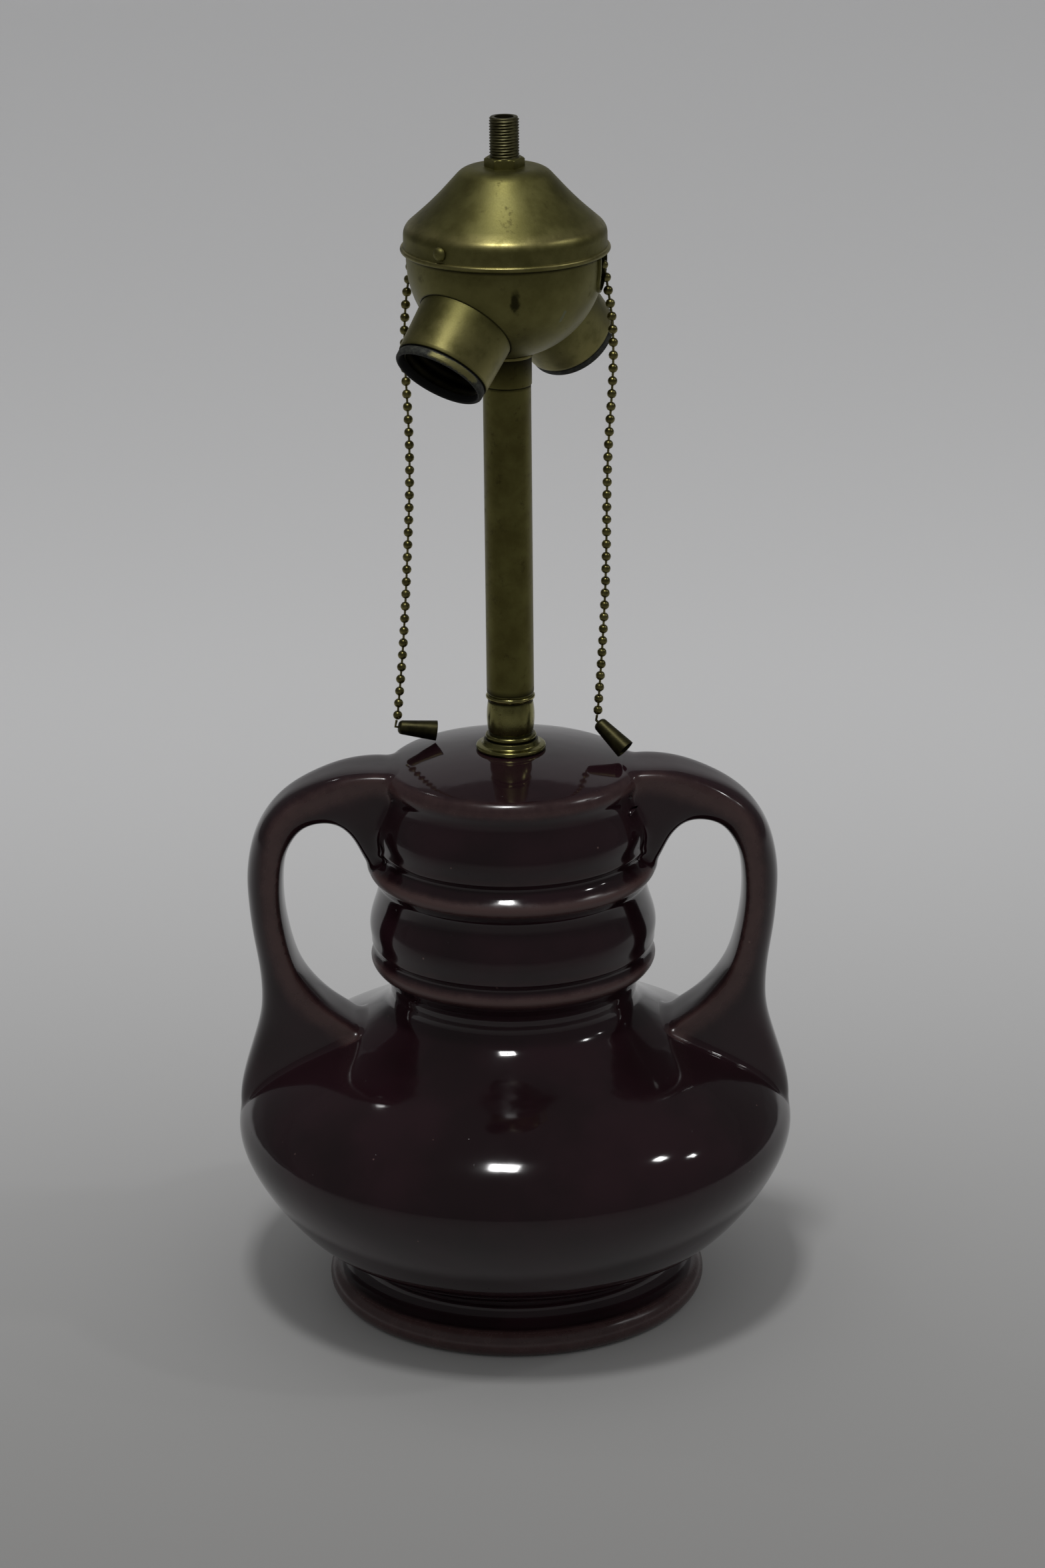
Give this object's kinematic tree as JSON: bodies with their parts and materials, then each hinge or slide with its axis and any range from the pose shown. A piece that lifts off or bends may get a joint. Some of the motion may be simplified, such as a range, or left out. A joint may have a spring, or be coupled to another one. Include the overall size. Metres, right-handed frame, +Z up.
{
  "type": "table lamp base",
  "caption": "Two-handled glazed vase lamp base with a brass riser and a two-light cluster worked by pull chains.",
  "frame": {"origin": "centre of the foot ring, on the surface that it stands on", "axes": "+Z up along the lamp pipe, +X towards the right handle as seen from the front, +Y to the back, where the cord outlet is"},
  "size_m": [0.192, 0.192, 0.414],
  "materials": {
    "glaze": "glossy dark aubergine glaze over fired clay",
    "satin_brass": "satin lacquered, aged",
    "turned_brass": "polished, tarnished",
    "chain_brass": "dull, aged",
    "steel": "plated",
    "fibre": "dark fibre board",
    "moulding": "dark phenolic"
  },
  "bodies": {
    "lamp": {"vase_body": "glaze", "base_washer": "steel", "base_locknut": "steel", "lamp_pipe": "steel", "seating_flange": "turned_brass", "turned_collar": "turned_brass", "bead_ring": "turned_brass", "riser_tube": "satin_brass", "cluster_sleeve": "satin_brass", "cluster_bowl": "satin_brass", "bowl_washer": "steel", "bowl_locknut": "steel", "cluster_cap": "satin_brass", "cap_screws": "turned_brass", "inner_locknut": "steel", "top_locknut": "turned_brass", "top_nipple": "turned_brass", "left_socket_shell": "satin_brass", "left_socket_liner": "fibre", "left_screw_shell": "turned_brass", "left_socket_body": "moulding", "left_centre_contact": "turned_brass", "left_switch_bracket": "steel", "left_switch_body": "moulding", "left_chain_guide": "turned_brass", "right_socket_shell": "satin_brass", "right_socket_liner": "fibre", "right_screw_shell": "turned_brass", "right_socket_body": "moulding", "right_centre_contact": "turned_brass", "right_switch_bracket": "steel", "right_switch_body": "moulding", "right_chain_guide": "turned_brass"},
    "left_lead": {"left_chain_lead": "chain_brass"},
    "left_chain": {"left_pull_chain": "chain_brass"},
    "left_bell": {"left_bell_link": "chain_brass", "left_chain_bell": "turned_brass"},
    "right_lead": {"right_chain_lead": "chain_brass"},
    "right_chain": {"right_pull_chain": "chain_brass"},
    "right_bell": {"right_bell_link": "chain_brass", "right_chain_bell": "turned_brass"}
  },
  "joints": [
    {"name": "left_pull", "type": "slide", "parent": "lamp", "child": "left_lead", "axis": [-0.9397, 0.342, 0], "range_m": [0, 0.009], "stiffness_N_per_m": 400},
    {"name": "left_chain_swing", "type": "hinge", "parent": "left_lead", "child": "left_chain", "pos_m": [-0.02711, 0.00987, 0.36822], "axis": [0.342, 0.9397, 0], "range_deg": [0, 22]},
    {"name": "left_bell_tilt", "type": "hinge", "parent": "left_chain", "child": "left_bell", "pos_m": [-0.03858, 0.01333, 0.20563], "axis": [0.0993, -0.9951, 0], "range_deg": [0, 50]},
    {"name": "right_pull", "type": "slide", "parent": "lamp", "child": "right_lead", "axis": [0.9781, -0.2079, 0], "range_m": [0, 0.009], "stiffness_N_per_m": 400},
    {"name": "right_chain_swing", "type": "hinge", "parent": "right_lead", "child": "right_chain", "pos_m": [0.02822, -0.006, 0.36822], "axis": [-0.2079, -0.9781, 0], "range_deg": [0, 22]},
    {"name": "right_bell_tilt", "type": "hinge", "parent": "right_chain", "child": "right_bell", "pos_m": [0.02961, 0.00228, 0.21036], "axis": [-0.5255, -0.8508, 0], "range_deg": [0, 50]}
  ]
}
